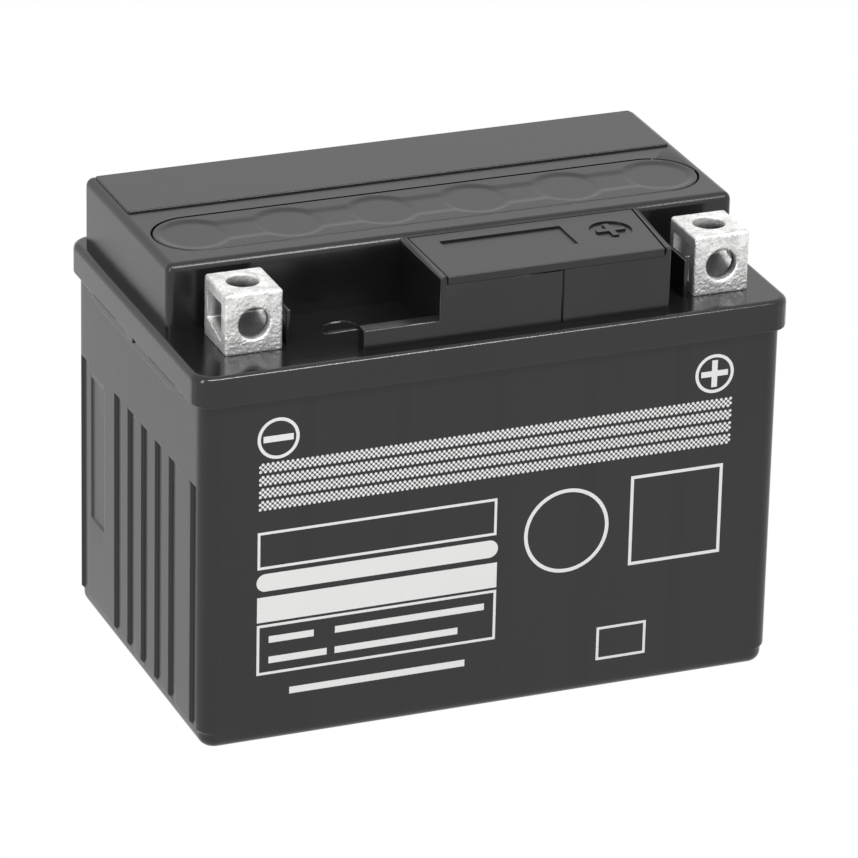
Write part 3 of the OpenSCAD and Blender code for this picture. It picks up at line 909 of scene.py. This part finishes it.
def pit(block, settings, low, high):
    """Raises the lumps of the cast skin on a finely meshed block, most of all on its front."""
    remesh = block.modifiers.new("Skin", "REMESH")
    remesh.mode, remesh.voxel_size, remesh.adaptivity = "VOXEL", settings.voxel, 0.0
    settle(block)
    mesh = block.data
    normals = [v.normal.copy() for v in mesh.vertices]
    for vertex, normal in zip(mesh.vertices, normals):
        p = vertex.co / settings.grain_size
        front = smooth_step(-normal.y, 0.45, 0.9) * (1 if vertex.co.y < low.y + 1.2 else 0)
        side = smooth_step(abs(normal.x), 0.5, 0.9)
        top = smooth_step(normal.z, 0.6, 0.95)
        depth = settings.grain_d * (front + 0.5 * side + 0.12 * top + 0.15 * (1 - max(front, side, top)))
        lumps = noise.noise(p) + 0.6 * noise.noise(p * 2.1) + 0.35 * noise.noise(p * 4.3)
        vertex.co += normal * depth * (lumps - 0.55)
    # Painted shade: 1 more than 2 mm inside the block, in its slot and holes, where the finish paints the
    # metal near-black.
    hole_shade = mesh.attributes.new("hole_shade", "FLOAT", "POINT")
    for vertex, value in zip(mesh.vertices, hole_shade.data):
        x, y, z = vertex.co
        depth = min(high.x - x, x - low.x, y - low.y, high.y - y, high.z - z)
        value.value = smooth_step(depth, 0.5, 2.0)
    return block


class BATTERY_OT_terminals(bpy.types.Operator):
    """Builds the two cast terminal blocks."""

    bl_idname = "battery.terminals"
    bl_label = "Terminals"

    def execute(self, context):
        settings, colours = context.scene.battery_terminals, context.scene.battery_colours
        metal = cast_metal("bright_lead", tuple(colours.terminal), facing=True)
        for side in ("negative", "positive"):
            node = f"{side}_terminal"
            low, high = box_mm(node)
            block = pit(terminal_solid(f"{side}_block", settings, low, high), settings, low, high)
            finish_piece(block, metal, [node], crease=70)
        return {"FINISHED"}


# --- the print ------------------------------------------------------------------------------


def frame_of(x0, z0, x1, z1, line):
    """The two outlines of a rectangular frame whose line runs inside the rectangle."""
    return [rectangle(x0, z0, x1, z1), rectangle(x0 + line, z0 + line, x1 - line, z1 - line)]


LABEL_ROWS = (
    (-42.5, -34.0, 20.2), (-30.0, -1.5, 20.2), (-42.5, -31.5, 16.2), (-30.0, -6.5, 16.2), (-38.5, -5.0, 9.6),
)


def front_marks():
    """Outlines of the printed marks, by (x, z) on the front of the case."""
    x, z = -41.07, 58.9
    marks = [circle(x, z, 3.9), circle(x, z, 3.3), minus_outline(x, z, 2.8, 0.6)]
    x, z = 41.96, 59.47
    marks += [circle(x, z, 3.75), circle(x, z, 3.15), plus_outline(x, z, 2.6, 0.55)]
    marks += frame_of(-44.75, 34.0, 0.55, 41.2, 0.5)
    marks.append(rounded_outline(rectangle(-44.9, 29.7, 0.9, 33.1), 1.69, steps=10))
    marks.append(rectangle(-44.75, 23.7, 0.8, 28.6))
    marks += frame_of(-44.75, 13.4, 0.8, 23.2, 0.5)
    for left, right, z in LABEL_ROWS:
        marks.append(rectangle(left, z - 0.65, right, z + 0.65))
    marks += [circle(14.1, 32.8, 8.2), circle(14.1, 32.8, 7.5)]
    marks += frame_of(26.4, 24.0, 44.4, 41.6, 0.6)
    marks += frame_of(20.7, 5.9, 30.4, 12.5, 0.5)
    return marks


def face_front(piece, ink_t):
    """Turns a shape drawn flat so that it lies as a film on the front of the case."""
    piece.data.transform(Matrix.Rotation(math.pi / 2, 4, "X"))
    piece.data.transform(Matrix.Translation((0, CASE_LOW.y - ink_t / 2, 0)))
    return piece


class BATTERY_OT_print(bpy.types.Operator):
    """Prints the polarity marks, frames and bars on the front of the case."""

    bl_idname = "battery.print"
    bl_label = "Print"

    def execute(self, context):
        settings, colours = context.scene.battery_print, context.scene.battery_colours
        ink = printed_ink("white_ink", tuple(colours.ink))
        half = settings.ink_t / 2
        marks = face_front(flat_shape("front_print", front_marks(), -half, half), settings.ink_t * 0.6)
        finish_piece(marks, ink)
        return {"FINISHED"}


def dot_tree(material):
    """Geometry nodes for a band of dots: two grids of round films, one between the other."""
    tree = bpy.data.node_groups.new("Dotted band", "GeometryNodeTree")
    face = tree.interface
    face.new_socket("Geometry", in_out="INPUT", socket_type="NodeSocketGeometry")
    wanted = [
        ("Columns", "NodeSocketInt"), ("Rows", "NodeSocketInt"), ("Pitch", "NodeSocketFloat"),
        ("Dot radius", "NodeSocketFloat"), ("Thickness", "NodeSocketFloat"),
    ]
    for name, kind in wanted:
        face.new_socket(name, in_out="INPUT", socket_type=kind)
    face.new_socket("Geometry", in_out="OUTPUT", socket_type="NodeSocketGeometry")
    start, end = tree.nodes.new("NodeGroupInput"), tree.nodes.new("NodeGroupOutput")

    def add(kind, sockets, **settings):
        node = tree.nodes.new(kind)
        for name, value in settings.items():
            setattr(node, name, value)
        for name, value in sockets.items():
            if isinstance(value, bpy.types.NodeSocket):
                tree.links.new(value, node.inputs[name])
            else:
                node.inputs[name].default_value = value
        return node.outputs[0]

    def maths(operation, a, b):
        return add("ShaderNodeMath", {0: a, 1: b}, operation=operation)

    at = start.outputs
    span_x = maths("MULTIPLY", maths("SUBTRACT", at["Columns"], 1), at["Pitch"])
    span_y = maths("MULTIPLY", maths("SUBTRACT", at["Rows"], 1), at["Pitch"])
    grid = add(
        "GeometryNodeMeshGrid",
        {"Size X": span_x, "Size Y": span_y, "Vertices X": at["Columns"], "Vertices Y": at["Rows"]},
    )
    half = maths("DIVIDE", at["Pitch"], 2)
    diagonal = add("ShaderNodeCombineXYZ", {0: half, 1: half})
    between = add("GeometryNodeTransform", {"Geometry": grid, "Translation": diagonal})
    join = tree.nodes.new("GeometryNodeJoinGeometry")
    for part in (grid, between):
        tree.links.new(part, join.inputs[0])
    dot = add(
        "GeometryNodeMeshCylinder",
        {"Vertices": 8, "Radius": at["Dot radius"], "Depth": at["Thickness"]},
    )
    dots = add("GeometryNodeInstanceOnPoints", {"Points": join.outputs[0], "Instance": dot})
    real = add("GeometryNodeRealizeInstances", {"Geometry": dots})
    painted = add("GeometryNodeSetMaterial", {"Geometry": real, "Material": material})
    tree.links.new(painted, end.inputs[0])
    return tree


class BATTERY_OT_stripes(bpy.types.Operator):
    """Prints the dotted stripes across the front of the case."""

    bl_idname = "battery.stripes"
    bl_label = "Stripes"

    def execute(self, context):
        settings, colours = context.scene.battery_print, context.scene.battery_colours
        ink = printed_ink("dotted_ink", tuple(colours.ink))
        tree = dot_tree(ink)
        left, right, lowest, pitch = -44.8, 45.8, 45.4, 2.4
        whole = bmesh.new()
        for k in range(settings.stripes):
            base = bmesh.new()
            bmesh.ops.create_grid(base, x_segments=1, y_segments=1, size=1)
            band = from_bmesh("band", base)
            modifier = band.modifiers.new("Dots", "NODES")
            modifier.node_group = tree
            values = {
                "Columns": int((right - left) / settings.dot_pitch),
                "Rows": 2,
                "Pitch": settings.dot_pitch,
                "Dot radius": settings.dot_r,
                "Thickness": settings.ink_t,
            }
            for item in tree.interface.items_tree:
                if item.in_out == "INPUT" and item.name in values:
                    modifier[item.identifier] = values[item.name]
            settle(band)
            middle = lowest + 0.9 + k * pitch
            shift = settings.dot_pitch / 4
            band.data.transform(Matrix.Translation(((left + right) / 2 - shift, middle - shift, 0)))
            whole.from_mesh(band.data)
            bpy.data.objects.remove(band)
        stripes = face_front(from_bmesh("dotted_stripes", whole), settings.ink_t * 0.6)
        finish_piece(stripes, ink)
        return {"FINISHED"}


# --- the inside -----------------------------------------------------------------------------


class BATTERY_OT_inside(bpy.types.Operator):
    """Gives the posts, seals, valves, plates, mats and links their finishes."""

    bl_idname = "battery.inside"
    bl_label = "Inside"

    def execute(self, context):
        lead = cast_metal("dull_lead", (0.52, 0.53, 0.55))
        rubber = moulded_rubber("valve_rubber")
        finishes = {
            "negative_post": lead, "positive_post": lead, "cell_link": lead,
            "negative_seal": rubber, "positive_seal": rubber, "valve_cap": rubber,
            "positive_plates": pasted_plate("oxide_paste", (0.085, 0.042, 0.028), (0.14, 0.075, 0.05)),
            "negative_plates": pasted_plate("grey_paste", (0.16, 0.165, 0.175), (0.26, 0.265, 0.27)),
            "separator_mats": glass_fleece("glass_fleece"),
            "flame_arrestor": porous_disc("porous_disc"),
        }
        for name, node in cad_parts.items():
            for start, material in finishes.items():
                if name.startswith(start):
                    node.data.materials.clear()
                    node.data.materials.append(material)
        return {"FINISHED"}


# --- the studio -----------------------------------------------------------------------------


def seen(tree):
    """1 for what the camera and the reflections see, 0 for what lights the battery."""
    path = tree.nodes.new("ShaderNodeLightPath")
    total = path.outputs["Is Camera Ray"]
    for name in ("Is Glossy Ray", "Is Transmission Ray"):
        both = tree.nodes.new("ShaderNodeMath")
        both.operation, both.use_clamp = "ADD", True
        tree.links.new(total, both.inputs[0])
        tree.links.new(path.outputs[name], both.inputs[1])
        total = both.outputs[0]
    return total


class BATTERY_OT_studio(bpy.types.Operator):
    """Sets up the pale floor, the white world, the lamps and the camera."""

    bl_idname = "battery.studio"
    bl_label = "Studio"

    def execute(self, context):
        settings, scene = context.scene.battery_studio, context.scene
        self.floor()
        self.world(scene, settings)
        self.lamp("overhead", (0.0, -0.34, 0.62), (0.6, 0.09), settings.key)
        self.lamp("left", (-0.62, -0.28, 0.3), (0.12, 0.5), settings.key * 0.4)
        self.camera(scene, settings)
        scene.view_settings.view_transform = "Standard"
        return {"FINISHED"}

    def floor(self):
        bm = bmesh.new()
        bmesh.ops.create_grid(bm, x_segments=1, y_segments=1, size=6.0)
        floor = from_bmesh("floor", bm)
        material = bpy.data.materials.new("pale_floor")
        material.use_nodes = True
        tree = material.node_tree
        tree.nodes.clear()
        paper = tree.nodes.new("ShaderNodeBsdfDiffuse")
        paper.inputs["Color"].default_value = (0.74, 0.74, 0.74, 1)
        white = tree.nodes.new("ShaderNodeEmission")
        white.inputs["Color"].default_value = (1, 1, 1, 1)
        both = tree.nodes.new("ShaderNodeMixShader")
        out = tree.nodes.new("ShaderNodeOutputMaterial")
        tree.links.new(seen(tree), both.inputs[0])
        tree.links.new(paper.outputs[0], both.inputs[1])
        tree.links.new(white.outputs[0], both.inputs[2])
        tree.links.new(both.outputs[0], out.inputs["Surface"])
        floor.data.materials.append(material)

    def world(self, scene, settings):
        world = bpy.data.worlds.new("studio")
        world.use_nodes = True
        scene.world = world
        tree = world.node_tree
        back = tree.nodes["Background"]
        back.inputs["Color"].default_value = (1, 1, 1, 1)
        level = tree.nodes.new("ShaderNodeMapRange")
        level.inputs["To Min"].default_value = settings.world
        level.inputs["To Max"].default_value = 1.0
        tree.links.new(seen(tree), level.inputs["Value"])
        tree.links.new(level.outputs[0], back.inputs["Strength"])

    def lamp(self, name, place, size, power):
        data = bpy.data.lights.new(name, "AREA")
        data.shape, data.size, data.size_y, data.energy = "RECTANGLE", *size, power
        lamp = bpy.data.objects.new(name, data)
        lamp.location = place
        aim = Vector((0, 0, 0.05)) - lamp.location
        lamp.rotation_euler = aim.to_track_quat("-Z", "Y").to_euler()
        lamp.visible_camera = False
        bpy.context.scene.collection.objects.link(lamp)

    def camera(self, scene, settings):
        low, high = CAD_BOX
        target = Vector((0.00104, 0, (low.z + high.z) / 2 - 0.00221))
        a, e = settings.azimuth, settings.elevation
        back = Vector((math.sin(a) * math.cos(e), -math.cos(a) * math.cos(e), math.sin(e)))
        data = bpy.data.cameras.new("camera")
        data.lens, data.sensor_width = settings.lens, 36
        data.clip_start, data.clip_end = 0.05, 30
        camera = bpy.data.objects.new("camera", data)
        upright = (-back).to_track_quat("-Z", "Y").to_matrix().to_4x4()
        camera.matrix_world = (
            Matrix.Translation(target + back * settings.distance)
            @ upright
            @ Matrix.Rotation(settings.roll, 4, "Z")
        )
        scene.collection.objects.link(camera)
        scene.camera = camera


class BATTERY_PT_panel(bpy.types.Panel):
    """Lists the battery's pieces in the sidebar."""

    bl_idname = "BATTERY_PT_panel"
    bl_label = "Motorcycle battery"
    bl_space_type = "VIEW_3D"
    bl_region_type = "UI"
    bl_category = "Battery"

    def draw(self, context):
        for operator in STEPS:
            self.layout.operator(operator.bl_idname)
        for name, group in SETTINGS.items():
            box = self.layout.box()
            for prop in group.__annotations__:
                box.prop(getattr(context.scene, name), prop)


STEPS = (
    BATTERY_OT_studio,
    BATTERY_OT_case,
    BATTERY_OT_cover,
    BATTERY_OT_lids,
    BATTERY_OT_terminals,
    BATTERY_OT_print,
    BATTERY_OT_stripes,
    BATTERY_OT_inside,
)


def register():
    for name, group in SETTINGS.items():
        bpy.utils.register_class(group)
        setattr(bpy.types.Scene, name, bpy.props.PointerProperty(type=group))
    for part in (*STEPS, BATTERY_PT_panel):
        bpy.utils.register_class(part)


def unregister():
    for part in (BATTERY_PT_panel, *reversed(STEPS)):
        bpy.utils.unregister_class(part)
    for name, group in SETTINGS.items():
        delattr(bpy.types.Scene, name)
        bpy.utils.unregister_class(group)


def main():
    register()
    for step in STEPS:
        area, name = step.bl_idname.split(".")
        getattr(getattr(bpy.ops, area), name)()


if __name__ == "__main__":
    main()
